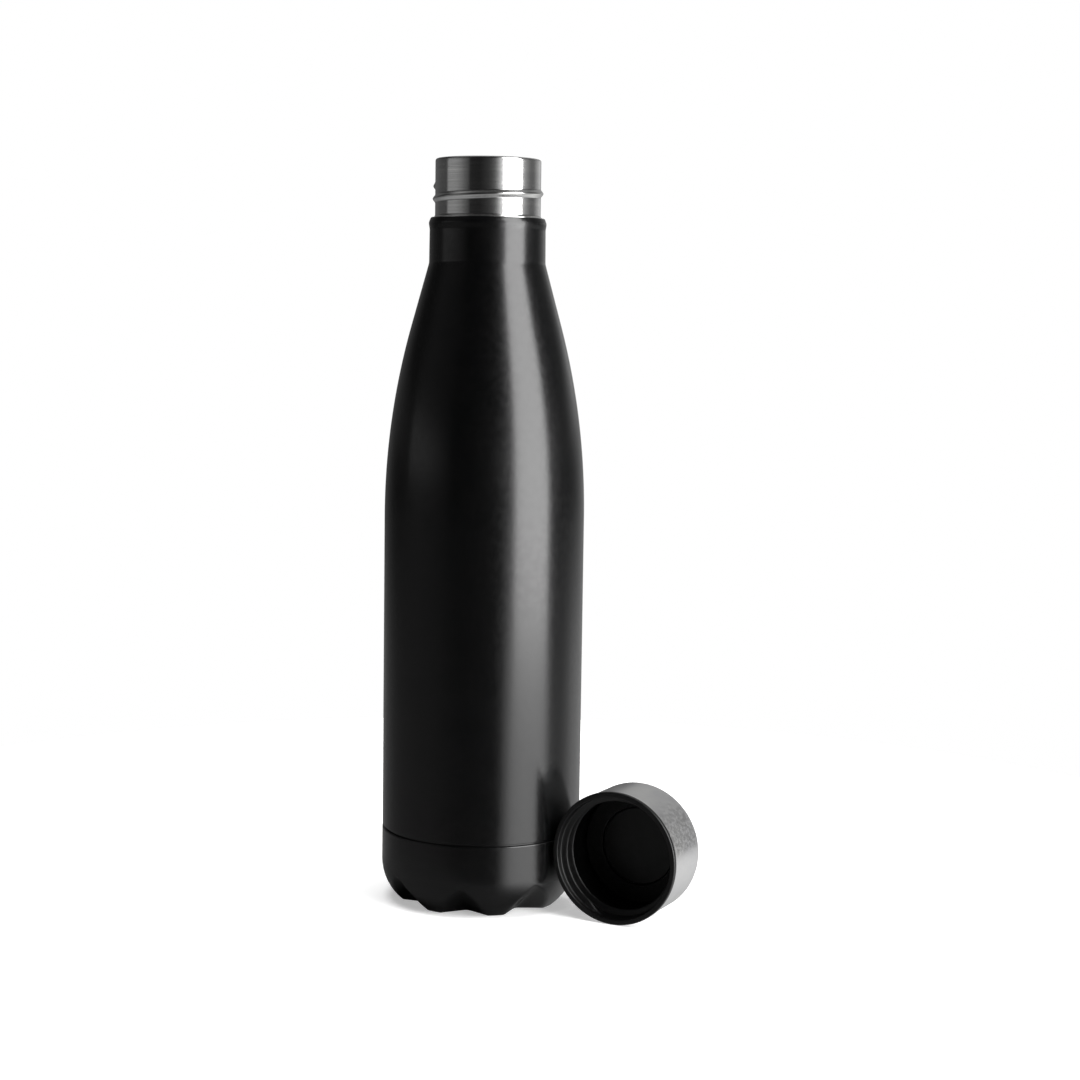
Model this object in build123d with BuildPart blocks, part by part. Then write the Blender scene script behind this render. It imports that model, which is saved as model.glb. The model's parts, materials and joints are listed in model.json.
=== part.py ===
"""Slim double-wall vacuum bottle with a foot-lobed base cup and a separate screw cap.

Millimetres, +Z up. The origin is the centre of the bottle's foot ring, on the surface it stands on.
The bottle stands on the Z axis, and the cap lies on its side against the bottle's right-hand front.
"""

import os
from math import asin, atan2, cos, degrees, hypot, radians, sin, tan

from build123d import *

# ---- bottle: outside shape ----
body_r = 35.0             # radius of the coated body
step_z = 26.4             # where the body steps in to the skirt that holds the base cup
step_height = 0.6
shoulder_z = 136.0        # start of the shoulder's long arc
shoulder_arc_r = 252.0    # radius of that arc, in side view
shoulder_cone = 15.3      # half angle of the cone above the arc, degrees
shoulder_blend = 5.0      # round between the cone and the neck
neck_r = 20.2             # coated neck
waist_r = 20.1            # the neck narrows a little below the bead
waist_z = 235.6
bead_r = 20.45            # bead round the top of the coated part
bead_z = 237.7
bead_top_r = 19.8
coat_top_z = 239.4        # edge of the coating
finish_r = 18.3           # bare neck that carries the thread
cove_round = 1.1          # hollow curve between the bead and the bare neck
lip_z = 259.7             # top of the mouth
lip_round = 0.8           # half the thickness of the rounded lip

# ---- bottle: walls ----
shell_wall = 0.4
flask_wall = 0.35
flask_r = 30.9            # outside radius of the inner tank
flask_shoulder_z = 130.0  # start of the inner tank's shoulder
flask_neck_r = 17.2       # outside radius of the inner neck tube
flask_neck_z = 216.6      # where the inner neck tube starts
flask_edge_z = 19.0       # lower edge of the inner tank
flask_base_z = 20.0       # underside of the plate that closes it
skirt_r = 34.35           # skirt inside the base cup
skirt_z = 12.6            # lower edge of the skirt
rim_height = 3.0          # turned-up rim of each closing plate
dish_rise = 2.5           # crown of the inner closing plate
dish_margin = 3.0         # flat ring round that crown

# ---- thread on the neck, one right-handed start ----
thread_pitch = 4.5
thread_height = 0.85
thread_width = 2.8
thread_turns = 1.1
thread_start_z = 245.6
thread_start_angle = 160.0
thread_sink = 0.15        # depth of a ridge's root inside the wall it stands on

# ---- vacuum parts ----
foil_gap = 0.1
foil_thickness = 0.15
foil_low_z = 24.0
foil_high_z = 130.0
plate_z = 12.9            # underside of the outer closing plate
plate_wall = 0.4
dimple_r = 5.0            # dimple round the pump-out hole
dimple_depth = 1.6
dimple_slope = 1.5
vent_r = 1.0
glass_r = 3.6             # solder glass where it meets the floor of the dimple
glass_bulge_r = 3.3       # side of the glass, and its height above the plate's underside
glass_bulge = 0.95
glass_face_r = 2.2        # edge of its rounded face, and the height of that edge and of its middle
glass_face_edge = 0.6
glass_face_centre = 0.5
getter_at = 15.0          # getter's distance from the axis
getter_r = 3.5
getter_height = 1.4
getter_edge = 0.3         # chamfer of the pill
clip_height = 0.3
clip_tab = 3.0            # width of the tabs, and how far each stands out

# ---- base cup ----
cup_r = 35.1
cup_wall = 0.6
cup_top_z = 25.75
cup_lip_round = 0.5
cup_side_z = 14.0         # where the side starts to curve in
foot_r = 28.3             # outer edge of the feet, on the floor
foot_count = 8
notch_direction = -100.0  # direction of one notch, degrees from +X
notch_top_z = 10.5        # height of a notch at the outside
notch_top_r = 34.3
notch_root_r = 22.5       # where a notch runs out on the floor
notch_half_width = 7.0    # half the width of a notch on the floor
notch_edge_r = 27.4       # distance of that widest point from the axis
notch_cut = 24.0          # length of the cutter each way from where a notch runs out
notch_cut_scale = 4.0     # size of the cutter's section against the notch on the floor
recess_r = 16.5           # hollow in the middle of the underside
recess_flat_r = 12.5
recess_depth = 3.0
recess_lean = 0.4         # how far the wall moves the inner edge out, against its thickness
glue_low_z = 15.0
glue_high_z = 24.0

# ---- cap, measured from its mouth (0) to its top ----
cap_length = 25.0
cap_shell_r = 22.6
cap_edge_round = 5.0
flange_r = 22.93          # rim that the cap lies on
flange_height = 1.7
flange_edge = 0.4         # chamfer of the rim
liner_r = 22.05           # outside of the liner inside the steel shell
liner_side_depth = 20.4   # where its side turns in, under the shell's rounded edge
liner_top_r = 20.6
bore_r = 21.1             # inside of the threaded liner
lead_r = 21.5             # chamfer at the mouth of the liner
lead_depth = 0.4
seat_r = 20.2             # the bore narrows below its thread to this, at the ceiling
seat_depth = 16.0
cap_thread_height = 2.1
cap_thread_width = 3.0
cap_thread_turns = 1.6
cap_thread_start = 2.7
cap_thread_angle = 100.0
ceiling_depth = 21.8
liner_top_wall = 1.2
boss_r = 13.6             # round boss that holds the seal
boss_height = 0.8
seal_height = 1.6
seal_r = 20.0
seal_edge = 0.4           # chamfer of its face
seal_gap = 0.1            # round the boss and under the ceiling
foam_r = 18.0
foam_height = 1.4
foam_gap = 0.1

# ---- where the cap lies ----
cap_yaw = 27.3            # its axis, degrees from +Y towards +X
cap_reach = 57.85         # mouth centre from the Z axis, across the cap's axis
cap_back = -12.0          # and along it

cap_side = Vector(cos(radians(cap_yaw)), -sin(radians(cap_yaw)), 0)
cap_direction = Vector(sin(radians(cap_yaw)), cos(radians(cap_yaw)), 0)
cap_mouth = cap_side * cap_reach + cap_direction * cap_back + Vector(0, 0, flange_r)
cap_section = Plane(origin=cap_mouth, x_dir=cap_side, z_dir=(0, 0, 1))
cap_axis = Axis(cap_mouth, cap_direction)
cap_thread_plane = Plane(
    origin=cap_mouth + cap_direction * cap_thread_start,
    x_dir=cap_side * cos(radians(cap_thread_angle)) - Vector(0, 0, sin(radians(cap_thread_angle))),
    z_dir=cap_direction,
)

cove_centre = (finish_r + cove_round, coat_top_z + cove_round)


def thread_ridge(radius, turns, width, height):
    """A rounded right-handed ridge round the Z axis. It stands inward where height is negative."""
    root = -thread_sink if height > 0 else thread_sink
    with BuildPart() as ridge:
        with BuildLine() as path:
            Helix(thread_pitch, thread_pitch * turns, radius)
        with BuildSketch(Plane(origin=(radius, 0, 0), x_dir=(1, 0, 0), z_dir=path.line % 0)):
            with BuildLine():
                Polyline((0, width / 2), (root, width / 2), (root, -width / 2), (0, -width / 2))
                Spline((0, -width / 2), (height, 0), (0, width / 2))
            make_face()
        sweep(path=path.line, is_frenet=True)
    return ridge.part


def shoulder_line(outer_r, arc_r, top_r):
    """Side, long arc and cone of a bottle wall, from its straight side up to radius top_r."""
    side = Line((outer_r, step_z + step_height), (outer_r, shoulder_z))
    arc = JernArc(side @ 1, side % 1, arc_r, shoulder_cone)
    climb = ((arc @ 1).X - top_r) / tan(radians(shoulder_cone))
    cone = Line(arc @ 1, (top_r, (arc @ 1).Y + climb))
    return cone @ 1


# ---------------------------------------------------------------- outer shell
with BuildPart() as outer_shell:
    with BuildSketch(Plane.XZ):
        with BuildLine():
            outer_foot = shoulder_line(body_r, shoulder_arc_r, neck_r)
            neck = Line(outer_foot, (waist_r, waist_z))
            bead = ThreePointArc(neck @ 1, (bead_r, bead_z), (bead_top_r, coat_top_z))
            ledge = Line(bead @ 1, (cove_centre[0], coat_top_z))
            cove = CenterArc(cove_centre, cove_round, 270, -90)
            finish = Line(cove @ 1, (finish_r, lip_z - lip_round))
            lip = CenterArc((finish_r - lip_round, lip_z - lip_round), lip_round, 0, 90)
            weld = Polyline(
                lip @ 1,
                (finish_r - lip_round, lip_z - lip_round),
                (finish_r - shell_wall, lip_z - 2 * lip_round),
                (finish_r - shell_wall, cove_centre[1]),
            )
            inner_cove = CenterArc(cove_centre, cove_round + shell_wall, 180, 90)
            inner_neck = Polyline(
                inner_cove @ 1,
                (bead_top_r - shell_wall / 2, coat_top_z - shell_wall),
                (waist_r - shell_wall, waist_z),
            )
            inner_foot = shoulder_line(
                body_r - shell_wall, shoulder_arc_r - shell_wall, neck_r - shell_wall
            )
            Line(inner_neck @ 1, inner_foot)
            Polyline(
                (body_r - shell_wall, step_z + step_height),
                (skirt_r - shell_wall, step_z),
                (skirt_r - shell_wall, skirt_z),
                (skirt_r, skirt_z),
                (skirt_r, step_z - shell_wall / 2),
                (body_r, step_z),
                (body_r, step_z + step_height),
            )
        make_face()
    revolve(axis=Axis.Z)
    neck_foot = outer_shell.edges().filter_by(GeomType.CIRCLE)
    neck_foot = neck_foot.filter_by_position(Axis.Z, outer_foot.Y - 0.01, outer_foot.Y + 0.01)
    fillet(neck_foot.sort_by(SortBy.RADIUS)[-1], shoulder_blend)
    with Locations(Plane.XY.offset(thread_start_z).rotated((0, 0, thread_start_angle))):
        add(thread_ridge(finish_r, thread_turns, thread_width, thread_height))
outer_shell.part.label = "outer_shell"

# ---------------------------------------------------------------- inner flask
with BuildPart() as inner_flask:
    with BuildSketch(Plane.XZ):
        with BuildLine():
            side = Line((flask_r, flask_edge_z), (flask_r, flask_shoulder_z))
            arc = JernArc(side @ 1, side % 1, shoulder_arc_r, shoulder_cone)
            cone = Line(arc @ 1, (flask_neck_r, flask_neck_z))
            tube = Polyline(
                cone @ 1,
                (flask_neck_r, lip_z - 2 * lip_round),
                (finish_r - lip_round, lip_z - lip_round),
                (finish_r - lip_round, lip_z),
            )
            lip = CenterArc((finish_r - lip_round, lip_z - lip_round), lip_round, 90, 90)
            bore = Line(lip @ 1, (finish_r - 2 * lip_round, flask_neck_z))
            inner_side = Line(
                (flask_r - flask_wall, flask_edge_z), (flask_r - flask_wall, flask_shoulder_z)
            )
            inner_arc = JernArc(
                inner_side @ 1, inner_side % 1, shoulder_arc_r - flask_wall, shoulder_cone
            )
            Line(inner_arc @ 1, bore @ 1)
            Line(side @ 0, inner_side @ 0)
        make_face()
    revolve(axis=Axis.Z)
inner_flask.part.label = "inner_flask"

# dished plate that closes the inner flask, with its rim turned up inside the tube
plate_r = flask_r - flask_wall
dish_r = plate_r - dish_margin
dish_ball_r = (dish_r**2 + dish_rise**2) / (2 * dish_rise)
dish_arc = degrees(atan2(dish_r, dish_ball_r - dish_rise))
dish_centre = (0, flask_base_z + dish_rise - dish_ball_r)
with BuildPart() as inner_flask_base:
    with BuildSketch(Plane.XZ):
        with BuildLine():
            under = CenterArc(dish_centre, dish_ball_r, 90, -dish_arc)
            upper = CenterArc(dish_centre, dish_ball_r + flask_wall, 90, -dish_arc)
            Line(under @ 0, upper @ 0)
            Polyline(
                under @ 1,
                (plate_r, flask_base_z),
                (plate_r, flask_base_z + rim_height),
                (plate_r - flask_wall, flask_base_z + rim_height),
                (plate_r - flask_wall, flask_base_z + flask_wall),
                upper @ 1,
            )
        make_face()
    revolve(axis=Axis.Z)
inner_flask_base.part.label = "inner_flask_base"

# reflective foil wrapped round the straight part of the inner flask
with BuildPart() as foil_wrap:
    with BuildSketch(Plane.XY.offset(foil_low_z)):
        Circle(flask_r + foil_gap + foil_thickness)
        Circle(flask_r + foil_gap, mode=Mode.SUBTRACT)
    extrude(amount=foil_high_z - foil_low_z)
foil_wrap.part.label = "foil_wrap"

# ---------------------------------------------------------------- outer closing plate
outer_plate_r = skirt_r - shell_wall
with BuildPart() as outer_base:
    with BuildSketch(Plane.XZ):
        with BuildLine():
            Polyline(
                (vent_r, plate_z + dimple_depth),
                (dimple_r, plate_z + dimple_depth),
                (dimple_r + dimple_slope, plate_z),
                (outer_plate_r, plate_z),
                (outer_plate_r, plate_z + rim_height),
                (outer_plate_r - plate_wall, plate_z + rim_height),
                (outer_plate_r - plate_wall, plate_z + plate_wall),
                (dimple_r + dimple_slope, plate_z + plate_wall),
                (dimple_r, plate_z + dimple_depth + plate_wall),
                (vent_r, plate_z + dimple_depth + plate_wall),
                close=True,
            )
        make_face()
    revolve(axis=Axis.Z)
outer_base.part.label = "outer_base"

# bead of solder glass that fills the pump-out hole and the floor of the dimple
with BuildPart() as sealing_glass:
    with BuildSketch(Plane.XZ):
        with BuildLine():
            face = Line((0, plate_z + glass_face_centre), (glass_face_r, plate_z + glass_face_edge))
            dome = ThreePointArc(
                face @ 1, (glass_bulge_r, plate_z + glass_bulge), (glass_r, plate_z + dimple_depth)
            )
            Polyline(
                dome @ 1,
                (vent_r, plate_z + dimple_depth),
                (vent_r, plate_z + dimple_depth + plate_wall),
                (0, plate_z + dimple_depth + plate_wall),
                face @ 0,
            )
        make_face()
    revolve(axis=Axis.Z)
sealing_glass.part.label = "sealing_glass"

# getter pill in a spot-welded clip on the vacuum side of the plate
getter_plane = Plane.XY.offset(plate_z + plate_wall)
with BuildPart() as getter_clip:
    with BuildSketch(getter_plane):
        with Locations((getter_at, 0)):
            Circle(getter_r + clip_height)
            Rectangle(2 * (getter_r + clip_tab), clip_tab)
    extrude(amount=clip_height)
    with BuildSketch(getter_plane.offset(clip_height)):
        with Locations((getter_at, 0)):
            Circle(getter_r + clip_height)
            Circle(getter_r, mode=Mode.SUBTRACT)
    extrude(amount=getter_height)
getter_clip.part.label = "getter_clip"

with BuildPart() as getter:
    with BuildSketch(getter_plane.offset(clip_height)):
        with Locations((getter_at, 0)):
            Circle(getter_r)
    extrude(amount=getter_height)
    chamfer(getter.faces().sort_by(Axis.Z)[-1].edges(), getter_edge)
getter.part.label = "getter"

# ---------------------------------------------------------------- base cup
# A notch is a V-groove. Its valley climbs from the floor at notch_root_r to the outside of the cup.
valley_slope = atan2(notch_top_z, notch_top_r - notch_root_r)
valley = Vector(cos(valley_slope), 0, sin(valley_slope))
edge_out = notch_edge_r - notch_root_r
edge_along = edge_out * cos(valley_slope)
edge_drop = hypot(edge_out - edge_along * cos(valley_slope), edge_along * sin(valley_slope))


def notch_cutter(wall):
    """The V-groove of one notch, with its faces moved up by the thickness of the wall."""
    half_angle = atan2(notch_half_width, edge_drop)
    apex = wall / sin(half_angle)
    with BuildPart() as cutter:
        with BuildSketch(Plane(origin=(notch_root_r, 0, 0), x_dir=(0, 1, 0), z_dir=valley)):
            with BuildLine():
                Polyline(
                    (0, apex),
                    (notch_half_width * notch_cut_scale, apex - edge_drop * notch_cut_scale),
                    (-notch_half_width * notch_cut_scale, apex - edge_drop * notch_cut_scale),
                    close=True,
                )
            make_face()
        extrude(amount=notch_cut, both=True)
    return cutter.part


foot_inset = cup_r - foot_r
foot_ball_r = (cup_side_z**2 + foot_inset**2) / (2 * foot_inset)


def cup_solid(wall, top_z):
    """The notched outside of the cup, or its inside where a wall is given."""
    foot_arc = degrees(asin((cup_side_z - wall) / (foot_ball_r - wall)))
    with BuildPart() as solid:
        with BuildSketch(Plane.XZ):
            with BuildLine():
                side = Line((cup_r - wall, top_z), (cup_r - wall, cup_side_z))
                foot_centre = (cup_r - foot_ball_r, cup_side_z)
                foot = CenterArc(foot_centre, foot_ball_r - wall, 0, -foot_arc)
                Polyline(
                    foot @ 1,
                    (recess_r + wall * recess_lean, wall),
                    (recess_flat_r, recess_depth + wall),
                    (0, recess_depth + wall),
                    (0, top_z),
                    side @ 0,
                )
            make_face()
        revolve(axis=Axis.Z)
        with PolarLocations(0, foot_count, notch_direction):
            add(notch_cutter(wall), mode=Mode.SUBTRACT)
    return solid.part


with BuildPart() as base_cup:
    add(cup_solid(0, cup_top_z))
    fillet(base_cup.faces().sort_by(Axis.Z)[-1].outer_wire().edges(), cup_lip_round)
    add(cup_solid(cup_wall, cup_top_z + cup_wall), mode=Mode.SUBTRACT)
base_cup.part.label = "base_cup"

# ring of adhesive between the skirt and the cup
with BuildPart() as base_adhesive:
    with BuildSketch(Plane.XY.offset(glue_low_z)):
        Circle(cup_r - cup_wall)
        Circle(skirt_r, mode=Mode.SUBTRACT)
    extrude(amount=glue_high_z - glue_low_z)
base_adhesive.part.label = "base_adhesive"

# ---------------------------------------------------------------- cap
with BuildPart() as cap_shell:
    with BuildSketch(cap_section):
        with BuildLine():
            side = Line((cap_shell_r, flange_height), (cap_shell_r, cap_length - cap_edge_round))
            edge = CenterArc(
                (cap_shell_r - cap_edge_round, cap_length - cap_edge_round), cap_edge_round, 0, 90
            )
            centre = Polyline(edge @ 1, (0, cap_length), (0, cap_length - shell_wall))
            inner_top = Line(
                centre @ 1, (cap_shell_r - cap_edge_round, cap_length - shell_wall)
            )
            inner_edge = CenterArc(
                (cap_shell_r - cap_edge_round, cap_length - cap_edge_round),
                cap_edge_round - shell_wall,
                90,
                -90,
            )
            Polyline(inner_edge @ 1, (cap_shell_r - shell_wall, flange_height), side @ 0)
        make_face()
    revolve(axis=cap_axis)
cap_shell.part.label = "cap_shell"

liner_top = ceiling_depth + liner_top_wall
with BuildPart() as cap_liner:
    with BuildSketch(cap_section):
        with BuildLine():
            Polyline(
                (lead_r, 0),
                (flange_r - flange_edge, 0),
                (flange_r, flange_edge),
                (flange_r, flange_height),
                (liner_r, flange_height),
                (liner_r, liner_side_depth),
                (liner_top_r, liner_top),
                (0, liner_top),
                (0, ceiling_depth - boss_height),
                (boss_r, ceiling_depth - boss_height),
                (boss_r, ceiling_depth),
                (seat_r, ceiling_depth),
                (bore_r, seat_depth),
                (bore_r, lead_depth),
                close=True,
            )
        make_face()
    revolve(axis=cap_axis)
    with Locations(cap_thread_plane):
        add(thread_ridge(bore_r, cap_thread_turns, cap_thread_width, -cap_thread_height))
cap_liner.part.label = "cap_liner"

with BuildPart() as cap_seal:
    with BuildSketch(cap_section):
        with BuildLine():
            Polyline(
                (boss_r + seal_gap, ceiling_depth - seal_gap),
                (boss_r + seal_gap, ceiling_depth - seal_height + seal_edge),
                (boss_r + seal_gap + seal_edge, ceiling_depth - seal_height),
                (seal_r - seal_edge, ceiling_depth - seal_height),
                (seal_r, ceiling_depth - seal_height + seal_edge),
                (seal_r, ceiling_depth - seal_gap),
                close=True,
            )
        make_face()
    revolve(axis=cap_axis)
cap_seal.part.label = "cap_seal"

with BuildPart() as cap_insulation:
    with BuildSketch(cap_section):
        with BuildLine():
            Polyline(
                (0, liner_top + foam_gap),
                (foam_r, liner_top + foam_gap),
                (foam_r, liner_top + foam_gap + foam_height),
                (0, liner_top + foam_gap + foam_height),
                close=True,
            )
        make_face()
    revolve(axis=cap_axis)
cap_insulation.part.label = "cap_insulation"

# ---------------------------------------------------------------- files
pieces = [
    outer_shell,
    inner_flask,
    inner_flask_base,
    foil_wrap,
    outer_base,
    sealing_glass,
    getter_clip,
    getter,
    base_cup,
    base_adhesive,
    cap_shell,
    cap_liner,
    cap_seal,
    cap_insulation,
]
os.makedirs("parts", exist_ok=True)
for piece in pieces:
    export_step(piece.part, f"parts/{piece.part.label}.step")
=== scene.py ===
"""Looks of a slim vacuum bottle and its steel screw cap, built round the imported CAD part.

Metres, in the CAD part's frame. Side views are lists of (radius, height) in millimetres.
"""

import json
import math

import bpy
import numpy as np
from mathutils import Matrix, Vector

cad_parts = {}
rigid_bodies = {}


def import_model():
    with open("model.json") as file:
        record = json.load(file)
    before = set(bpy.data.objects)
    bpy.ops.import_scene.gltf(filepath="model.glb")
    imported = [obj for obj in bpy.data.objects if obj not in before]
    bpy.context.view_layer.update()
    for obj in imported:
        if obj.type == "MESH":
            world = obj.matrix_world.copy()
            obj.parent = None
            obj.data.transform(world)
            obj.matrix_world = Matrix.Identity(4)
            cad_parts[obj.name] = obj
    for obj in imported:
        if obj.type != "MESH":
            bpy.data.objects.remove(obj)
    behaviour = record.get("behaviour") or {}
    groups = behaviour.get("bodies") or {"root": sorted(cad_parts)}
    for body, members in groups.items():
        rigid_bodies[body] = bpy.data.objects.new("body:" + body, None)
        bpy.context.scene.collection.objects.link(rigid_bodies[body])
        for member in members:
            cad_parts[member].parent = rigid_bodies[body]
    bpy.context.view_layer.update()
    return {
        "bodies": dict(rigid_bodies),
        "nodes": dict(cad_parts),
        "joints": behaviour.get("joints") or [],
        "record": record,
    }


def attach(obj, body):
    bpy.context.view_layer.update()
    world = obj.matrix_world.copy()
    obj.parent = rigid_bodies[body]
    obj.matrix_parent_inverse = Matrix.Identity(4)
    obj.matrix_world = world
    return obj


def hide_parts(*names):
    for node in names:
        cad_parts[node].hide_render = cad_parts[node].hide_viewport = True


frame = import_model()

MM = 0.001

# ---- bottle, in mm ----
BODY_R = 35.0
STEP_Z = 26.4             # lower edge of the coated body, above the base cup
STEP_ROUND = 0.18
SKIRT_R = 34.35           # the shell goes on inside the base cup
SKIRT_Z = 12.6
SHELL_WALL = 0.4
SHOULDER_Z = 136.0
SHOULDER_ARC_R = 252.0
SHOULDER_CONE = math.radians(15.3)
NECK_R = 20.2
NECK_FOOT_ROUND = 5.0
WAIST_R, WAIST_Z, WAIST_ROUND = 20.1, 235.6, 3.0
BEAD_R, BEAD_Z, BEAD_ROUND = 20.45, 237.7, 2.2
COAT_TOP_R, COAT_TOP_Z, COAT_TOP_ROUND = 19.8, 239.4, 0.25
COAT_LEDGE = 0.9          # width of the flat where the coating ends
FINISH_R = 18.3           # bare neck above the coating
COVE_ROUND = 1.1
NECK_LAP = 0.25           # how far the bare neck's foot reaches into the coated shell
NECK_LEDGE = 0.12         # how far that foot stands above the coating
LIP_Z = 259.7
LIP_ROUND = 0.8
FLASK_R = 30.9
FLASK_WALL = 0.35
FLASK_SHOULDER_Z = 130.0
FLASK_NECK_R, FLASK_NECK_Z, FLASK_NECK_ROUND = 17.2, 216.6, 4.0
FLASK_EDGE_Z = 19.0       # lower edge of the flask's wall
FLASK_BASE_Z = 20.0       # lowest part of its bottom plate
DISH_RISE = 2.5           # the flask's bottom plate is domed upwards
PLATE_RIM = 3.0           # height of its turned-up rim
PLATE_ROUND = 0.9
PLATE_RING_R, PLATE_RING_WIDTH, PLATE_RING_DEPTH = 14.0, 1.3, 0.5

# ---- threads, in mm: both are right-handed with one start ----
PITCH = 4.5
NECK_THREAD = {"start_z": 245.6, "start": 160.0, "turns": 1.1, "height": 0.85, "width": 3.1}
CAP_THREAD = {"start_z": 2.7, "start": 100.0, "turns": 1.6, "height": -2.1, "width": 2.8}
THREAD_TAPER = 24.0       # degrees over which a ridge rises at each end
NECK_THREAD_LOW = 242.2   # the wall carries the thread from here up to the lip
CAP_THREAD_LOW, CAP_THREAD_HIGH = 0.8, 15.0

# ---- base cup, in mm ----
CUP_R = 35.1
CUP_WALL = 0.6
CUP_TOP_Z = 25.75
CUP_LIP_ROUND = 0.5
CUP_SIDE_Z = 14.0         # the side is upright from here up
FOOT_R = 28.3
FOOT_COUNT = 8
NOTCH_DIRECTION = -100.0  # degrees from +X
NOTCH_TOP_R, NOTCH_TOP_Z = 34.3, 10.5
NOTCH_ROOT_R = 22.5       # where its valley reaches the floor
NOTCH_EDGE_R = 27.4       # where it is NOTCH_HALF_WIDTH wide each way on the floor
NOTCH_HALF_WIDTH = 7.0
NOTCH_SOFTNESS = 1.0      # how round its valley and edges are
NOTCH_WALL = 1.45         # how far its inside lies above its outside, in walls of the cup
RECESS_R, RECESS_FLAT_R, RECESS_DEPTH, RECESS_ROUND = 16.5, 12.5, 3.0, 1.0

# ---- cap, in mm from its mouth to its top ----
CAP_LENGTH = 25.0
CAP_SHELL_R = 22.6
CAP_EDGE_ROUND = 5.0
FLANGE_R = 22.93          # the liner's flange is the cap's black rim
FLANGE_HEIGHT = 1.7
COVER_GAP = 0.08          # between the flange and the steel cover
LINER_R = 22.05
LINER_SIDE, LINER_TOP_R = 20.4, 20.6
BORE_R = 21.1
SEAT_R, SEAT_DEPTH = 20.2, 16.0
CEILING = 21.8
LINER_TOP = 23.0          # back of the liner, inside the cover
BOSS_R, BOSS_HEIGHT = 13.6, 0.8
SEAL_R, SEAL_HEIGHT = 20.0, 1.6
SEAL_GAP = 0.1            # between the seal and what is round it

# ---- meshes ----
THREAD_ROW = 0.13         # height of a row where there is thread, in mm
ARC_SPACING = 2.5         # longest step along a rounded corner, in mm
ARC_TURN = 0.2            # and in radians
ARC_STEPS = 4             # fewest steps in a rounded corner
DISH_ROWS = 60            # rows over the flask's bottom plate
FOOT_ROWS = 56            # rows over the round of the feet
FLOOR_ROWS = 36           # rows over the part that stands on the floor
TOP_ROWS = 24             # rows over the top of the cap
HAIR = 0.02               # keeps two runs of points from meeting in one, in mm
FLAT_MARGIN = 0.25        # distance of the extra points from the ends of a long run, in mm
SHARP_ANGLE = math.radians(40)

# ---- studio and camera, in metres and degrees ----
FLOOR_R = 0.34
SHADE_DISC_R = 0.09          # painted shade: a dark disc under the feet that reflections see in place of the pale floor
SHADE_DISC_CENTRE = (-0.035, -0.02, 0.0003)
SHADE_DISC_FADE = (0.035, 0.085)
CAMERA_SPOT = (0.01965, -0.754, 0.2063)
CAMERA_LENS = 71.8
CAMERA_PITCH, CAMERA_ROLL = 84.05, 0.81


# ---------------------------------------------------------------- side views
def rounded(corners):
    """A side view with its corners rounded. A corner is (radius, height, rounding)."""
    points = []
    for i, corner in enumerate(corners):
        here = Vector(corner[:2])
        if len(corner) == 2 or i in (0, len(corners) - 1):
            points.append(tuple(here))
            continue
        back = (Vector(corners[i - 1][:2]) - here).normalized()
        ahead = (Vector(corners[i + 1][:2]) - here).normalized()
        turn = math.pi - back.angle(ahead)
        centre = here + (back + ahead).normalized() * corner[2] / math.cos(turn / 2)
        reach = corner[2] * math.tan(turn / 2)
        first, last = here + back * reach - centre, here + ahead * reach - centre
        steps = max(ARC_STEPS, math.ceil(turn / ARC_TURN), math.ceil(corner[2] * turn / ARC_SPACING))
        start = math.atan2(first.y, first.x)
        sweep = (math.atan2(last.y, last.x) - start + math.pi) % (2 * math.pi) - math.pi
        for k in range(steps + 1):
            angle = start + sweep * k / steps
            points.append(tuple(centre + Vector((math.cos(angle), math.sin(angle))) * corner[2]))
    return points


def held(points):
    """The side view with a point more near both ends of each long run, to keep its shading flat."""
    result = [points[0]]
    for a, b in zip(points, points[1:]):
        run = Vector(b) - Vector(a)
        if run.length > 6 * FLAT_MARGIN:
            step = run.normalized() * FLAT_MARGIN
            result += [tuple(Vector(a) + step), tuple(Vector(b) - step)]
        result.append(b)
    return result


def run_of(radius, low, high):
    """Points of an upright wall, close enough together to carry a thread."""
    count = math.ceil(abs(high - low) / THREAD_ROW)
    return [(radius, low + (high - low) * k / count) for k in range(count + 1)]


def lathe(name, points, segments=384, shape=None, place=None):
    """A closed solid of revolution. points goes round the section, or from the axis back to it.

    shape(r, z, angle) may move the surface: it gets and returns arrays in mm.
    """
    area = sum(a[0] * b[1] - b[0] * a[1] for a, b in zip(points, points[1:] + points[:1]))
    if area < 0:
        points = points[::-1]
    open_ends = points[0][0] < 1e-6 and points[-1][0] < 1e-6
    rows = np.array(points[1:-1] if open_ends else points)
    angle = np.linspace(0, 2 * math.pi, segments, endpoint=False)[None, :]
    r = np.repeat(rows[:, :1], segments, axis=1)
    z = np.repeat(rows[:, 1:], segments, axis=1)
    if shape:
        r, z = shape(r, z, angle)
    co = np.stack([r * np.cos(angle), r * np.sin(angle), z], axis=-1).reshape(-1, 3)
    count = len(rows)
    last = count - 1 if open_ends else count
    column = np.arange(segments)
    beside = (column + 1) % segments
    quads = []
    for i in range(last):
        low, high = i * segments, (i + 1) % count * segments
        quads += np.stack([low + column, low + beside, high + beside, high + column], 1).tolist()
    if open_ends:
        first, top = len(co), len(co) + 1
        co = np.vstack([co, [0, 0, points[0][1]], [0, 0, points[-1][1]]])
        high = (count - 1) * segments
        quads += [[first, b, a] for a, b in zip(column.tolist(), beside.tolist())]
        quads += [[top, high + a, high + b] for a, b in zip(column.tolist(), beside.tolist())]
    mesh = bpy.data.meshes.new(name)
    mesh.from_pydata((co * MM).tolist(), [], quads)
    mesh.shade_smooth()
    mesh.set_sharp_from_angle(angle=SHARP_ANGLE)
    if place is not None:
        mesh.transform(place)
    piece = bpy.data.objects.new(name, mesh)
    bpy.context.scene.collection.objects.link(piece)
    return piece


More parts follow.
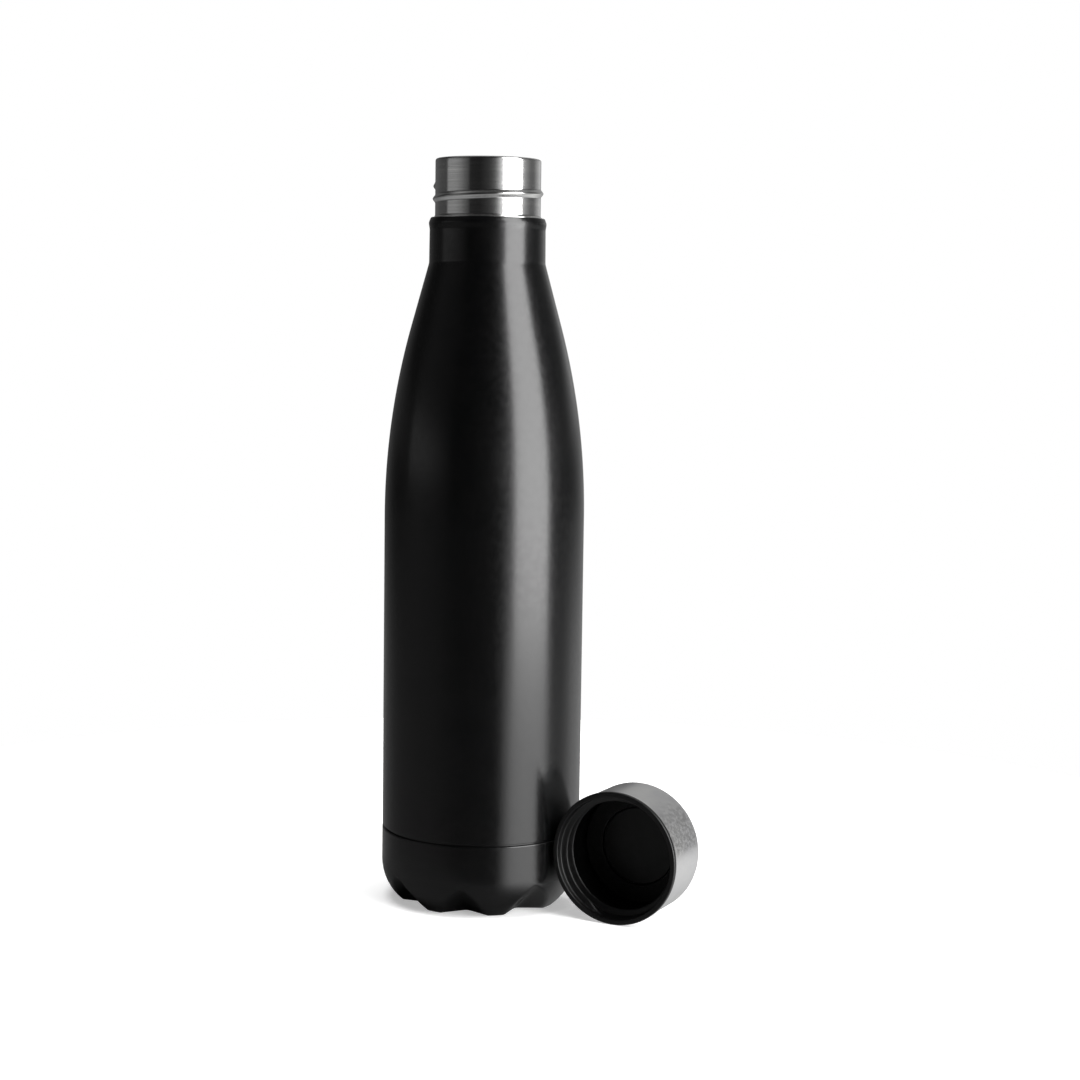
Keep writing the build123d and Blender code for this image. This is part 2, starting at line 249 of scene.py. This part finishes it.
def ridge_height(z, angle, thread):
    """Height of a thread's ridge over its wall."""
    start = math.radians(thread["start"])
    taper = math.radians(THREAD_TAPER)
    length = thread["turns"] * 2 * math.pi
    total = np.zeros(np.broadcast(z, angle).shape)
    for turn in range(-1, 3):
        along = angle - start + turn * 2 * math.pi
        off = (z - thread["start_z"] - PITCH * along / (2 * math.pi)) / (thread["width"] / 2)
        bump = np.where(np.abs(off) < 1, 0.5 + 0.5 * np.cos(np.pi * off), 0)
        ends = np.clip(np.minimum(along, length - along) / taper, 0, 1)
        total = np.maximum(total, bump * ends * ends * (3 - 2 * ends))
    return total * thread["height"]


def threaded(wall_r, low, high, thread):
    """A shape for lathe() that raises the thread on the wall of radius wall_r."""

    def shape(r, z, angle):
        on_wall = (np.abs(r - wall_r) < 0.01) & (z >= low) & (z <= high)
        return r + np.where(on_wall, ridge_height(z, angle, thread), 0), z

    return shape


def soft_max(a, b, width):
    """The larger of a and b, blended where they are nearly equal."""
    near = np.maximum(width - np.abs(a - b), 0) / width
    return np.maximum(a, b) + near * near * width / 4


# ---------------------------------------------------------------- shapes
def shoulder(wall):
    """Corners of the bottle's shoulder, moved in by the thickness of the wall."""
    rise = SHOULDER_ARC_R * math.tan(SHOULDER_CONE / 2)
    cone_z = SHOULDER_Z + rise
    neck_z = cone_z + (BODY_R - NECK_R) / math.tan(SHOULDER_CONE)
    return [
        (BODY_R - wall, cone_z, SHOULDER_ARC_R - wall),
        (NECK_R - wall, neck_z, NECK_FOOT_ROUND + wall),
    ]


def coated_shell():
    """Coated outside of the bottle, from its step above the base cup to the bead under the bare neck."""
    outside = rounded([
        (SKIRT_R, SKIRT_Z),
        (SKIRT_R, STEP_Z - 0.1),
        (BODY_R, STEP_Z, STEP_ROUND),
        *shoulder(0),
        (WAIST_R, WAIST_Z, WAIST_ROUND),
        (BEAD_R, BEAD_Z, BEAD_ROUND),
        (COAT_TOP_R, COAT_TOP_Z, COAT_TOP_ROUND),
        (COAT_TOP_R - COAT_LEDGE, COAT_TOP_Z),
    ])
    inside = rounded([
        (COAT_TOP_R - COAT_LEDGE, COAT_TOP_Z - SHELL_WALL),
        (WAIST_R - SHELL_WALL, WAIST_Z),
        *reversed(shoulder(SHELL_WALL)),
        (BODY_R - SHELL_WALL, STEP_Z + 0.6),
        (SKIRT_R - SHELL_WALL, STEP_Z),
        (SKIRT_R - SHELL_WALL, SKIRT_Z),
    ])
    return lathe("coated_body", held(outside) + held(inside), segments=512)


def bare_neck():
    """Bare steel neck with its thread and the outer half of the lip."""
    thread_high = LIP_Z - LIP_ROUND - 0.3
    foot_r = FINISH_R + COVE_ROUND
    points = held(rounded([
        (foot_r - 0.1, COAT_TOP_Z - NECK_LAP),
        (foot_r + NECK_LAP, COAT_TOP_Z - NECK_LAP),
        (foot_r + NECK_LAP, COAT_TOP_Z + NECK_LEDGE),
        (FINISH_R, COAT_TOP_Z + NECK_LEDGE, COVE_ROUND - 0.1),
        (FINISH_R, NECK_THREAD_LOW),
    ]))
    points += run_of(FINISH_R, NECK_THREAD_LOW, thread_high)[1:]
    points += rounded([
        (FINISH_R, thread_high + HAIR),
        (FINISH_R, LIP_Z, LIP_ROUND),
        (FINISH_R - LIP_ROUND, LIP_Z),
    ])[1:]
    inner_r = FINISH_R - SHELL_WALL
    points += [
        (FINISH_R - LIP_ROUND, LIP_Z - LIP_ROUND),
        (inner_r, LIP_Z - 2 * LIP_ROUND),
        (inner_r, COAT_TOP_Z + COVE_ROUND),
    ]
    thread = threaded(FINISH_R, NECK_THREAD_LOW, thread_high, NECK_THREAD)
    return lathe("bare_neck", points, segments=512, shape=thread)


def inner_tank():
    """Tube and shoulder of the inner flask, with its half of the lip."""
    rise = SHOULDER_ARC_R * math.tan(SHOULDER_CONE / 2)
    shoulder_z = FLASK_SHOULDER_Z + rise
    bore_r = FINISH_R - 2 * LIP_ROUND
    points = rounded([
        (FLASK_R, FLASK_EDGE_Z),
        (FLASK_R, shoulder_z, SHOULDER_ARC_R),
        (FLASK_NECK_R, FLASK_NECK_Z, FLASK_NECK_ROUND),
        (FLASK_NECK_R, LIP_Z - 2 * LIP_ROUND),
        (FINISH_R - LIP_ROUND, LIP_Z - LIP_ROUND),
        (FINISH_R - LIP_ROUND, LIP_Z),
    ])
    points += rounded([
        (FINISH_R - LIP_ROUND, LIP_Z),
        (bore_r, LIP_Z, LIP_ROUND),
        (bore_r, FLASK_NECK_Z, FLASK_NECK_ROUND),
        (FLASK_R - FLASK_WALL, shoulder_z, SHOULDER_ARC_R - FLASK_WALL),
        (FLASK_R - FLASK_WALL, FLASK_EDGE_Z),
    ])[1:]
    return lathe("inner_tank", held(points))


def tank_bottom():
    """Dished plate that closes the inner flask, with one pressed ring."""
    plate_r = FLASK_R - FLASK_WALL
    dish_r = plate_r - PLATE_RIM

    def dish(r):
        ring = PLATE_RING_DEPTH * math.exp(-(((r - PLATE_RING_R) / PLATE_RING_WIDTH) ** 2))
        return FLASK_BASE_Z + DISH_RISE * (1 - (r / dish_r) ** 2) - ring

    radii = [dish_r * k / DISH_ROWS for k in range(DISH_ROWS + 1)]
    under = [(r, dish(r)) for r in radii]
    over = [(r, dish(r) + FLASK_WALL) for r in reversed(radii)]
    rim = rounded([
        (dish_r + 0.3, FLASK_BASE_Z),
        (plate_r, FLASK_BASE_Z, PLATE_ROUND),
        (plate_r, FLASK_BASE_Z + PLATE_RIM),
        (plate_r - FLASK_WALL, FLASK_BASE_Z + PLATE_RIM),
        (plate_r - FLASK_WALL, FLASK_BASE_Z + FLASK_WALL, PLATE_ROUND - FLASK_WALL),
        (dish_r + 0.3, FLASK_BASE_Z + FLASK_WALL),
    ])
    return lathe("tank_bottom", under + rim + over)


def notched(inner_from):
    """A shape for lathe() that presses the foot notches into the base cup, outside and inside alike.

    Rows from inner_from on are the inside.
    """
    rise = NOTCH_TOP_Z / (NOTCH_TOP_R - NOTCH_ROOT_R)
    fall = rise * (NOTCH_EDGE_R - NOTCH_ROOT_R) / NOTCH_HALF_WIDTH
    pitch = 2 * math.pi / FOOT_COUNT

    def shape(r, z, angle):
        turned = (angle - math.radians(NOTCH_DIRECTION) + pitch / 2) % pitch - pitch / 2
        across = np.sqrt((r * np.sin(turned)) ** 2 + NOTCH_SOFTNESS**2) - NOTCH_SOFTNESS
        valley = rise * (r * np.cos(turned) - NOTCH_ROOT_R) - fall * across
        valley[inner_from:] += CUP_WALL * NOTCH_WALL
        return r, np.where(z < CUP_SIDE_Z + 1, soft_max(z, valley, NOTCH_SOFTNESS), z)

    return shape


def foot_arc(wall):
    """Points of the cup's underside and foot, from the axis to the upright side."""
    inset = CUP_R - FOOT_R
    ball_r = (CUP_SIDE_Z**2 + inset**2) / (2 * inset)
    centre_r = CUP_R - ball_r
    end = math.asin((CUP_SIDE_Z - wall) / (ball_r - wall))
    arc = [end * (1 - k / FOOT_ROWS) for k in range(FOOT_ROWS + 1)]
    floor_r = centre_r + (ball_r - wall) * math.cos(end)
    floor = [floor_r - (floor_r - RECESS_R) * k / FLOOR_ROWS for k in range(1, FLOOR_ROWS)][::-1]
    recess = rounded([
        (0.0, RECESS_DEPTH + wall),
        (RECESS_FLAT_R, RECESS_DEPTH + wall, RECESS_ROUND),
        (RECESS_R, wall, RECESS_ROUND),
        (RECESS_R + 1.0, wall),
    ])
    recess = [p for p in recess if p[0] < floor[0] - 0.1]
    foot = [
        (centre_r + (ball_r - wall) * math.cos(a), CUP_SIDE_Z - (ball_r - wall) * math.sin(a))
        for a in arc
    ]
    return held(recess) + [(r, wall) for r in floor] + foot


def base_cup_shell():
    """Coated cup under the bottle, with notches between its feet and a hollow underneath."""
    outside = foot_arc(0) + held(rounded([
        (CUP_R, CUP_SIDE_Z + 0.3),
        (CUP_R, CUP_TOP_Z, CUP_LIP_ROUND),
        (CUP_R - CUP_WALL, CUP_TOP_Z),
    ]))
    inside = foot_arc(CUP_WALL)[::-1]
    return lathe("lobed_base_cup", outside + inside, segments=840, shape=notched(len(outside) - 1))


def cap_frame():
    """Where the cap lies: its mouth's centre, with local Z along the cap from mouth to top."""
    turn = next(j for j in frame["joints"] if j["name"] == "cap_turn")
    along = -Vector(turn["axis"]).normalized()
    on_axis = Vector(turn["pos_m"])
    liner = frame["nodes"]["cap_liner"].data.vertices
    mouth = on_axis + along * min((v.co - on_axis).dot(along) for v in liner)
    side = Vector((along.y, -along.x, 0))
    columns = Matrix((side, along.cross(side), along)).transposed()
    return Matrix.Translation(mouth) @ columns.to_4x4()


def cap_cover(place):
    """Drawn steel cover with a flat top and a wide round edge."""
    wall = SHELL_WALL
    outside = rounded([
        (CAP_SHELL_R, FLANGE_HEIGHT + COVER_GAP),
        (CAP_SHELL_R, CAP_LENGTH, CAP_EDGE_ROUND),
        (0.0, CAP_LENGTH),
    ])
    inside = rounded([
        (0.0, CAP_LENGTH - wall),
        (CAP_SHELL_R - wall, CAP_LENGTH - wall, CAP_EDGE_ROUND - wall),
        (CAP_SHELL_R - wall, FLANGE_HEIGHT + COVER_GAP),
    ])
    flat_r = CAP_SHELL_R - CAP_EDGE_ROUND
    rings = [(flat_r * k / TOP_ROWS, CAP_LENGTH) for k in range(TOP_ROWS + 1)]
    points = rings + held(outside[::-1])[2:] + held(inside[::-1])
    return lathe("cap_cover", points, place=place)


def cap_inner(place):
    """Moulded liner with the flange that shows as the cap's black rim, and the thread inside."""
    rim = rounded([
        (LINER_R, FLANGE_HEIGHT),
        (FLANGE_R, FLANGE_HEIGHT, 0.25),
        (FLANGE_R, 0.0, 0.5),
        (BORE_R, 0.0, 0.45),
        (BORE_R, CAP_THREAD_LOW),
    ])
    wall = run_of(BORE_R, CAP_THREAD_LOW, CAP_THREAD_HIGH)[1:]
    ceiling = rounded([
        (BORE_R, CAP_THREAD_HIGH + HAIR),
        (BORE_R, SEAT_DEPTH, 3.0),
        (SEAT_R, CEILING, 0.4),
        (BOSS_R, CEILING, 0.15),
        (BOSS_R, CEILING - BOSS_HEIGHT, 0.35),
        (0.0, CEILING - BOSS_HEIGHT),
    ])
    back = rounded([
        (0.0, LINER_TOP),
        (LINER_TOP_R, LINER_TOP, 0.5),
        (LINER_R, LINER_SIDE, 0.5),
        (LINER_R, FLANGE_HEIGHT),
    ])
    points = held(back)[:-1] + held(rim) + wall + held(ceiling)
    thread = threaded(BORE_R, CAP_THREAD_LOW, CAP_THREAD_HIGH, CAP_THREAD)
    return lathe("cap_liner_moulding", points, shape=thread, place=place)


def seal_ring(place):
    """Flat ring round the raised centre of the cap's ceiling."""
    inner_r = BOSS_R + SEAL_GAP
    top, face = CEILING - SEAL_GAP, CEILING - SEAL_HEIGHT
    points = rounded([
        ((inner_r + SEAL_R) / 2, top),
        (inner_r, top, 0.2),
        (inner_r, face, 0.5),
        (SEAL_R, face, 0.5),
        (SEAL_R, top, 0.2),
        ((inner_r + SEAL_R) / 2, top),
    ])
    return lathe("seal_ring", held(points)[:-1], place=place)


# ---------------------------------------------------------------- materials
class Shader:
    """A node material. add() makes one node: inputs by name, settings by keyword."""

    def __init__(self, name, tree=None, frame=None):
        self.frame = frame
        if tree is None:
            self.material = bpy.data.materials.new(name)
            self.material.use_nodes = True
            tree = self.material.node_tree
        self.tree = tree
        self.tree.nodes.clear()

    def add(self, kind, inputs=None, **settings):
        node = self.tree.nodes.new("ShaderNode" + kind)
        for key, value in settings.items():
            setattr(node, key, value)
        for key, value in (inputs or {}).items():
            if isinstance(value, bpy.types.NodeSocket):
                self.tree.links.new(value, node.inputs[key])
            else:
                node.inputs[key].default_value = value
        return node

    def place(self, stretch=(1, 1, 1)):
        """Coordinates that stay with the piece, in metres, scaled along the axes of its frame."""
        coords = self.add("TexCoord").outputs["Object"]
        if self.frame is not None:
            turned = {"Location": self.frame.translation, "Rotation": self.frame.to_euler()}
            mapping = self.add("Mapping", {"Vector": coords, **turned}, vector_type="TEXTURE")
            coords = mapping.outputs["Vector"]
        return self.add("Mapping", {"Vector": coords, "Scale": stretch}).outputs["Vector"]

    def noise(self, size, detail=2.0, stretch=(1, 1, 1)):
        """Noise of about that size in mm."""
        inputs = {"Vector": self.place(stretch), "Scale": 1000 / size, "Detail": detail}
        return self.add("TexNoise", inputs).outputs["Fac"]

    def between(self, value, low, high, at=(0.35, 0.65)):
        """value spread from low to high."""
        inputs = {"Value": value, "From Min": at[0], "From Max": at[1], "To Min": low, "To Max": high}
        return self.add("MapRange", inputs, interpolation_type="SMOOTHSTEP").outputs["Result"]

    def tint(self, value, dark, light, at=(0.35, 0.65)):
        """A colour between dark and light."""
        ramp = self.add("ValToRGB", {"Fac": value})
        for element, position, colour in zip(ramp.color_ramp.elements, at, (dark, light)):
            element.position = position
            element.color = (*colour, 1)
        return ramp.outputs["Color"]

    def bump(self, height, depth, after=None):
        """Relief of that depth in mm, on top of another."""
        inputs = {"Height": height, "Strength": 1.0, "Distance": depth * MM}
        if after:
            inputs["Normal"] = after
        return self.add("Bump", inputs).outputs["Normal"]

    def finish(self, inputs):
        shader = self.add("BsdfPrincipled", inputs)
        output = self.add("OutputMaterial")
        self.tree.links.new(shader.outputs["BSDF"], output.inputs["Surface"])
        return self.material


def black_coat():
    """Satin powder coat: orange peel, a fine grain in it, and a little dust-grey cloudiness."""
    s = Shader("black_coat")
    cloud = s.noise(9.0, 3.0)
    peel = s.bump(s.noise(1.3, 2.0), 0.012)
    grain = s.bump(s.noise(0.22, 1.0), 0.004, after=peel)
    return s.finish({
        "Base Color": s.tint(cloud, (0.0011, 0.0012, 0.0013), (0.0016, 0.0016, 0.0017)),
        "Roughness": s.between(s.noise(2.2, 4.0), 0.20, 0.24),
        "IOR": 1.5,
        "Normal": grain,
    })


def turned_steel():
    """Bare neck: fine rings left by turning, so that reflections smear along the bottle."""
    s = Shader("turned_steel")
    rings = s.noise(0.22, 2.0, stretch=(0.01, 0.01, 1))
    bands = s.noise(1.6, 2.0, stretch=(0.02, 0.02, 1))
    relief = s.bump(bands, 0.006, after=s.bump(rings, 0.0012))
    tangent = s.add("Tangent", direction_type="RADIAL", axis="Z").outputs["Tangent"]
    return s.finish({
        "Base Color": s.tint(bands, (0.60, 0.60, 0.60), (0.68, 0.68, 0.67)),
        "Metallic": 1.0,
        "Roughness": s.between(rings, 0.16, 0.22),
        "Anisotropic": 0.75,
        "Anisotropic Rotation": 0.25,
        "Tangent": tangent,
        "Normal": relief,
    })


def drawn_steel():
    """Inside of the flask and other formed steel: dull, with faint draw rings."""
    s = Shader("drawn_steel")
    rings = s.noise(0.5, 3.0, stretch=(0.03, 0.03, 1))
    grain = s.noise(0.3, 2.0)
    return s.finish({
        "Base Color": s.tint(s.noise(12.0, 3.0), (0.52, 0.52, 0.52), (0.60, 0.60, 0.59)),
        "Metallic": 1.0,
        "Roughness": s.between(grain, 0.28, 0.38),
        "Normal": s.bump(rings, 0.004, after=s.bump(grain, 0.002)),
    })


def cap_steel(frame):
    """Satin steel of the cap: brushed round the side, and slightly mottled."""
    s = Shader("cap_steel", frame=frame)
    brush = s.noise(0.16, 2.0, stretch=(0.06, 0.06, 1))
    patches = s.noise(8.0, 3.0, stretch=(1, 1, 0.6))
    relief = s.bump(patches, 0.014, after=s.bump(brush, 0.0016))
    return s.finish({
        "Base Color": s.tint(patches, (0.68, 0.68, 0.69), (0.76, 0.76, 0.75)),
        "Metallic": 1.0,
        "Roughness": s.between(s.noise(1.2, 4.0), 0.30, 0.40),
        "Normal": relief,
    })


def cap_plastic():
    """Moulded black plastic: nearly smooth, with the sheen of a polished mould."""
    s = Shader("cap_plastic")
    flow = s.noise(6.0, 2.0)
    return s.finish({
        "Base Color": s.tint(flow, (0.0010, 0.0010, 0.0011), (0.0014, 0.0014, 0.0015)),
        "Roughness": s.between(s.noise(1.5, 3.0), 0.36, 0.44),
        "Normal": s.bump(s.noise(0.5, 2.0), 0.0015),
    })


def silicone():
    """Dull black rubber with a fine grain."""
    s = Shader("silicone")
    return s.finish({
        "Base Color": s.tint(s.noise(3.0, 3.0), (0.0012, 0.0012, 0.0012), (0.0018, 0.0018, 0.0018)),
        "Roughness": s.between(s.noise(0.8, 3.0), 0.55, 0.68),
        "Normal": s.bump(s.noise(0.12, 2.0), 0.004),
    })


def foil():
    """Thin bright foil, creased where it was wrapped."""
    s = Shader("foil")
    creases = s.add(
        "TexVoronoi", {"Vector": s.place((1, 1, 0.5)), "Scale": 160.0}, feature="DISTANCE_TO_EDGE"
    ).outputs["Distance"]
    return s.finish({
        "Base Color": s.tint(s.noise(6.0), (0.74, 0.74, 0.74), (0.84, 0.84, 0.84)),
        "Metallic": 1.0,
        "Roughness": s.between(s.noise(2.0, 3.0), 0.16, 0.28),
        "Normal": s.bump(creases, 0.25, after=s.bump(s.noise(1.5, 3.0), 0.05)),
    })


def solder_glass():
    """Dark green glass with a melted surface."""
    s = Shader("solder_glass")
    return s.finish({
        "Base Color": s.tint(s.noise(0.8, 3.0), (0.03, 0.05, 0.045), (0.09, 0.13, 0.11)),
        "Roughness": s.between(s.noise(0.5, 3.0), 0.10, 0.22),
        "IOR": 1.7,
        "Coat Weight": 0.4,
        "Normal": s.bump(s.noise(0.9, 2.0), 0.03),
    })


def getter_metal():
    """Pressed grey metal powder."""
    s = Shader("getter_metal")
    return s.finish({
        "Base Color": s.tint(s.noise(0.2, 3.0), (0.12, 0.12, 0.13), (0.26, 0.26, 0.27)),
        "Metallic": 0.7,
        "Roughness": s.between(s.noise(0.15, 3.0), 0.55, 0.8),
        "Normal": s.bump(s.noise(0.12, 2.0), 0.02),
    })


def adhesive():
    """Uneven bead of greyish glue."""
    s = Shader("adhesive")
    return s.finish({
        "Base Color": s.tint(s.noise(2.0, 3.0), (0.25, 0.25, 0.23), (0.36, 0.36, 0.33)),
        "Roughness": s.between(s.noise(1.0, 3.0), 0.35, 0.55),
        "Normal": s.bump(s.noise(1.2, 3.0), 0.05),
    })


def foam():
    """Closed-cell foam: small round cells with darker rims."""
    s = Shader("foam")
    cells = s.add(
        "TexVoronoi", {"Vector": s.place(), "Scale": 1400.0}, feature="DISTANCE_TO_EDGE"
    ).outputs["Distance"]
    return s.finish({
        "Base Color": s.tint(cells, (0.62, 0.61, 0.56), (0.85, 0.84, 0.80), at=(0.0, 0.12)),
        "Roughness": s.between(s.noise(1.0, 3.0), 0.75, 0.9),
        "Normal": s.bump(cells, 0.15),
    })


def matte(name, grey, glow=0.0, fade=None):
    """A floor, nearly even in tone. The glow keeps its shadows pale.

    fade is (centre, first, last): it thins out between those two distances from its centre.
    """
    s = Shader(name)
    alpha = 1.0
    if fade:
        centre, first, last = fade
        away = s.add("VectorMath", {0: s.place(), 1: centre}, operation="DISTANCE").outputs["Value"]
        alpha = s.between(away, 1.0, 0.0, at=(first, last))
    return s.finish({
        "Alpha": alpha,
        "Base Color": s.tint(s.noise(60.0, 3.0), [grey - 0.01] * 3, [grey + 0.01] * 3),
        "Roughness": s.between(s.noise(20.0, 3.0), 0.8, 0.9),
        "Specular IOR Level": 0.1,
        "Emission Color": (1, 1, 1, 1),
        "Emission Strength": glow,
    })


# ---------------------------------------------------------------- object
def dress(piece, material):
    """Give the piece that one material."""
    piece.data.materials.clear()
    piece.data.materials.append(material)
    return piece


coat, steel, neck_steel = black_coat(), drawn_steel(), turned_steel()
cap_place = cap_frame()
cover_steel, plastic = cap_steel(cap_place), cap_plastic()

REBUILT = [
    # piece, material, body, nodes that it stands for, slot
    (coated_shell(), coat, "bottle", ["outer_shell"], "black_coat"),
    (bare_neck(), neck_steel, "bottle", ["outer_shell"], "steel"),
    (inner_tank(), steel, "bottle", ["inner_flask"], "steel"),
    (tank_bottom(), steel, "bottle", ["inner_flask_base"], "steel"),
    (base_cup_shell(), coat, "bottle", ["base_cup"], "black_coat"),
    (cap_cover(cap_place), cover_steel, "cap", ["cap_shell"], "cap_steel"),
    (cap_inner(cap_place), plastic, "cap", ["cap_liner"], "cap_plastic"),
    (seal_ring(cap_place), silicone(), "cap", ["cap_seal"], "silicone"),
]
for piece, material, body, nodes, slot in REBUILT:
    dress(piece, material)
    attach(piece, body)
    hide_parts(*nodes)

KEPT = {
    "foil_wrap": foil(),
    "outer_base": steel,
    "sealing_glass": solder_glass(),
    "getter": getter_metal(),
    "getter_clip": steel,
    "base_adhesive": adhesive(),
    "cap_insulation": foam(),
}
for node, material in KEPT.items():
    dress(frame["nodes"][node], material)


# ---------------------------------------------------------------- studio
def aimed(location, target):
    """A matrix at location whose local -Z points at target."""
    location, target = Vector(location), Vector(target)
    turned = (target - location).to_track_quat("-Z", "Y")
    return Matrix.Translation(location) @ turned.to_matrix().to_4x4()


def area_light(name, width, height, radiance, place, reflected=True):
    """A soft light at the matrix place, shining along its -Z. The camera can't see it."""
    data = bpy.data.lights.new(name, "AREA")
    data.shape = "RECTANGLE"
    data.size, data.size_y = width, height
    data.energy = radiance * width * height * math.pi
    light = bpy.data.objects.new(name, data)
    light.matrix_world = place
    light.visible_camera = False
    light.visible_glossy = reflected
    bpy.context.scene.collection.objects.link(light)


def soft_box(name, azimuth, distance, low, high, width, radiance):
    """An upright light between two heights, azimuth degrees round from the front towards the right."""
    turn = math.radians(azimuth)
    spot = Vector((math.sin(turn) * distance, -math.cos(turn) * distance, (low + high) / 2))
    area_light(name, width, high - low, radiance, aimed(spot, (0, 0, spot.z)))


def studio_world():
    """White to the camera. Round the object it is a dim studio with a few grey cards."""
    world = bpy.data.worlds.new("studio")
    world.use_nodes = True
    bpy.context.scene.world = world
    s = Shader("studio", tree=world.node_tree)
    direction = s.add("TexCoord").outputs["Generated"]
    parts = s.add("SeparateXYZ", {"Vector": direction})
    forward = s.add("Math", {0: parts.outputs["Y"], 1: -1.0}, operation="MULTIPLY").outputs[0]
    azimuth = s.add("Math", {0: parts.outputs["X"], 1: forward}, operation="ARCTAN2").outputs[0]
    circle = s.add("MapRange", {"Value": azimuth, "From Min": -math.pi, "From Max": math.pi})
    turn = circle.outputs["Result"]

    def cards(stops):
        """Grey by direction. A stop is (degrees from the front towards the right, grey)."""
        ramp = s.add("ValToRGB", {"Fac": turn})
        elements = ramp.color_ramp.elements
        while len(elements) < len(stops):
            elements.new(0.5)
        for element, (degrees, grey) in zip(elements, stops):
            element.position = (degrees + 180) / 360
            element.color = (grey, grey, grey, 1)
        return ramp.outputs["Color"]

    def above(low, high):
        """0 below, 1 above, by the upward part of the direction."""
        inputs = {"Value": parts.outputs["Z"], "From Min": low, "From Max": high}
        return s.add("MapRange", inputs, interpolation_type="SMOOTHSTEP").outputs["Result"]

    def mix(factor, a, b):
        return s.add("Mix", {"Factor": factor, 6: a, 7: b}, data_type="RGBA").outputs[2]

    walls = cards([
        (-180, 0.12), (-148, 0.11), (-124, 0.035), (-105, 0.04), (-94, 0.08), (-82, 0.11), (-60, 0.08),
        (-45, 0.05), (-38, 0.02), (-16, 0.012), (3, 0.02), (16, 0.03), (23, 0.1), (30, 0.5), (88, 0.2),
        (97, 0.13), (107, 0.1), (124, 0.12), (148, 0.35), (176, 0.4), (180, 0.12),
    ])
    band = cards([
        (-180, 0.12), (-112, 0.10), (-100, 0.08), (-95, 0.5), (-72, 0.5), (-60, 0.38), (-52, 0.24),
        (-42, 0.12), (-38, 0.012), (-16, 0.014), (3, 0.07), (9, 0.13), (16, 0.25), (23, 0.6), (28, 0.9),
        (88, 0.5), (97, 0.33), (107, 0.17), (119, 0.17), (133, 0.43), (153, 0.7), (180, 0.12),
    ])
    ground = cards([
        (-180, 0.3), (-148, 0.2), (-120, 0.16), (-90, 0.16), (-60, 0.16), (-20, 0.06), (22, 0.07),
        (36, 3.0), (76, 3.2), (88, 0.5), (105, 0.5), (127, 0.95), (150, 0.6), (180, 0.3),
    ])
    ceiling = cards([(-180, 0.4), (-110, 0.4), (-80, 0.05), (80, 0.05), (110, 0.4), (180, 0.4)])
    limits = {0: above(0.01, 0.04), 1: above(0.17, 0.11)}
    in_band = s.add("Math", limits, operation="MULTIPLY").outputs[0]
    floor = cards([
        (-180, 0.5), (-60, 0.4), (0, 0.3), (50, 0.45), (66, 0.2), (90, 0.2), (106, 0.8), (150, 0.8),
        (180, 0.5),
    ])
    below = mix(above(-0.85, -0.28), floor, ground)
    sides = mix(in_band, walls, band)
    sky = mix(above(0.6, 0.9), mix(above(-0.17, -0.09), below, sides), ceiling)
    room = s.add("Background", {"Color": sky, "Strength": 1.0})
    backdrop = s.add("Background", {"Color": (1, 1, 1, 1), "Strength": 1.0})
    seen = s.add("LightPath").outputs["Is Camera Ray"]
    mixed = s.add("MixShader", {0: seen, 1: room.outputs[0], 2: backdrop.outputs[0]})
    output = s.add("OutputWorld")
    s.tree.links.new(mixed.outputs[0], output.inputs["Surface"])


def floor_disc(name, centre, radius, material, rings=24, segments=128):
    """A flat disc that belongs to the studio and not to the object."""
    verts = [(0, 0, 0)]
    for ring in range(1, rings + 1):
        for k in range(segments):
            turn = 2 * math.pi * k / segments
            r = radius * ring / rings
            verts.append((r * math.cos(turn), r * math.sin(turn), 0))
    faces = [(0, 1 + k, 1 + (k + 1) % segments) for k in range(segments)]
    for ring in range(rings - 1):
        low, high = 1 + ring * segments, 1 + (ring + 1) * segments
        for k in range(segments):
            beside = (k + 1) % segments
            faces.append((low + k, high + k, high + beside, low + beside))
    mesh = bpy.data.meshes.new(name)
    mesh.from_pydata(verts, [], faces)
    mesh.transform(Matrix.Translation(centre))
    disc = bpy.data.objects.new(name, mesh)
    bpy.context.scene.collection.objects.link(disc)
    dress(disc, material)
    return disc


def floors():
    """The pale floor, and right round the feet a dark disc that only reflections see: painted shade on
    the floor for the feet and lower body to reflect.
    """
    floor = floor_disc("floor", (0, 0, 0), FLOOR_R, matte("pale_floor", 0.87, glow=0.4))
    floor.visible_glossy = False
    # painted shade: a dark grey disc that fades out towards its edge and stands in for the floor's shade
    # in reflections
    painted_shade_floor = matte("painted_shade_floor", 0.14, fade=(SHADE_DISC_CENTRE, *SHADE_DISC_FADE))
    shade_disc = floor_disc("painted_shade_disc", SHADE_DISC_CENTRE, SHADE_DISC_R, painted_shade_floor)
    shade_disc.visible_camera = False
    shade_disc.visible_diffuse = False
    shade_disc.visible_shadow = False


def camera():
    data = bpy.data.cameras.new("camera")
    data.sensor_width = 36.0
    data.lens = CAMERA_LENS
    data.clip_start, data.clip_end = 0.05, 20.0
    item = bpy.data.objects.new("camera", data)
    pitch = Matrix.Rotation(math.radians(CAMERA_PITCH), 4, "X")
    roll = Matrix.Rotation(math.radians(CAMERA_ROLL), 4, "Z")
    item.matrix_world = Matrix.Translation(CAMERA_SPOT) @ pitch @ roll
    bpy.context.scene.collection.objects.link(item)
    bpy.context.scene.camera = item


studio_world()
floors()
soft_box("key", azimuth=57.5, distance=1.0, low=-0.05, high=1.3, width=0.78, radiance=8.2)
area_light("overhead", 0.9, 0.9, 6.0, Matrix.Translation((0, 0, 1.2)), reflected=False)
camera()
bpy.context.scene.view_settings.view_transform = "Standard"
